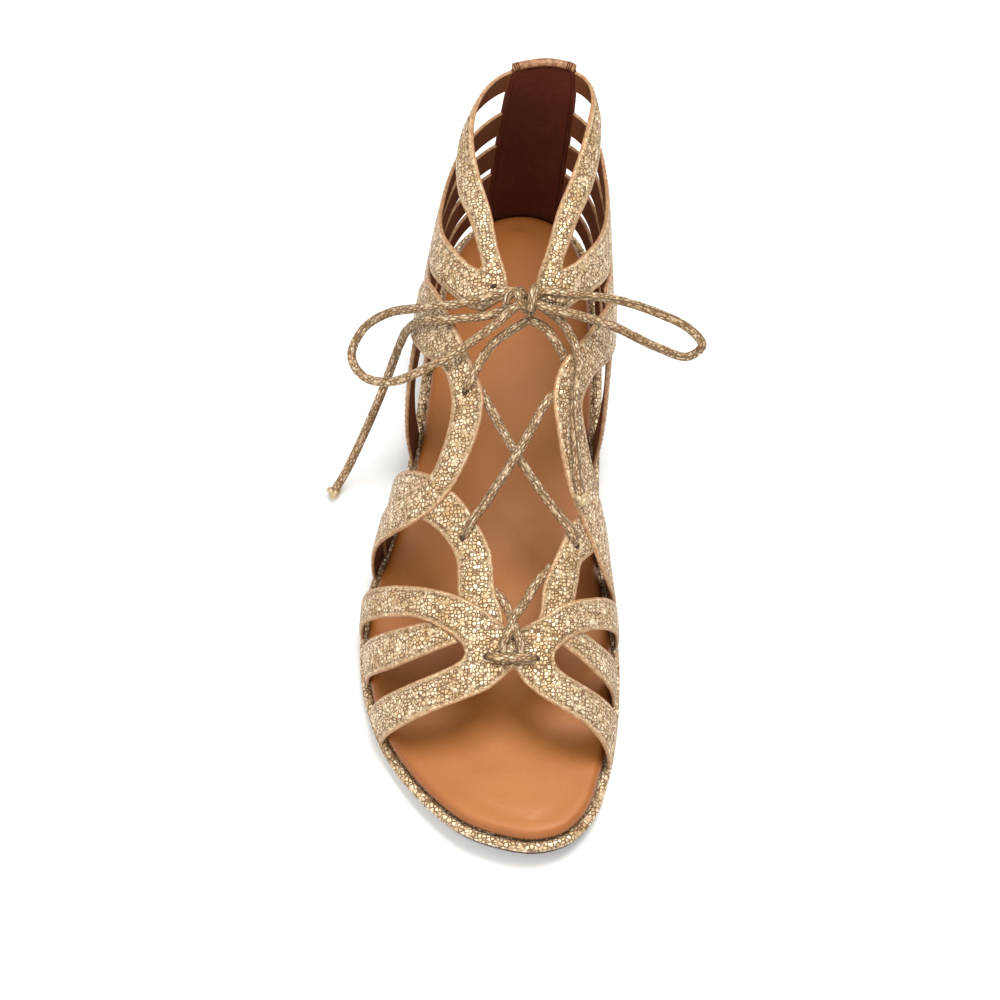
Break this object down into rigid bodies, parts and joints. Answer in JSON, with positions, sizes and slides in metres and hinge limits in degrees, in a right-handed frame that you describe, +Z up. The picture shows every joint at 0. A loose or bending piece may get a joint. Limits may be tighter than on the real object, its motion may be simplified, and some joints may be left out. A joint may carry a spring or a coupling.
{
  "type": "gladiator sandal",
  "caption": "Flat gladiator sandal for a right foot: gold embossed leather straps laced up the throat with a round cord tied in a bow, closed heel panel, padded insole, open toe and a low heel.",
  "frame": {"origin": "on the floor, in the middle of the shoe's box without the bow", "axes": "+Z up, toe toward -Y, heel toward +Y, big-toe side toward +X"},
  "size_m": [0.1278, 0.2502, 0.1021],
  "materials": {
    "rubber": "matt dark brown rubber with a fine grain",
    "rim_leather": "champagne gold foil leather with embossed snake scales, wrapped round the midsole",
    "insole_leather": "smooth cognac leather over foam, satin",
    "strap_leather": "champagne gold foil leather with embossed snake scales, tan cut edges and a brown lining",
    "lace": "round lace rolled from the same embossed gold leather"
  },
  "bodies": {
    "root": {"outsole": "rubber", "heel": "rubber", "midsole": "rim_leather", "insole": "insole_leather", "upper": "strap_leather", "lace_bar": "lace", "lace_cross_low": "lace", "lace_cross_mid": "lace", "lace_cross_top": "lace", "bow_knot": "lace", "bow_loop_outer": "lace", "bow_loop_inner": "lace", "lace_end_outer": "lace", "lace_end_inner": "lace"}
  },
  "joints": []
}
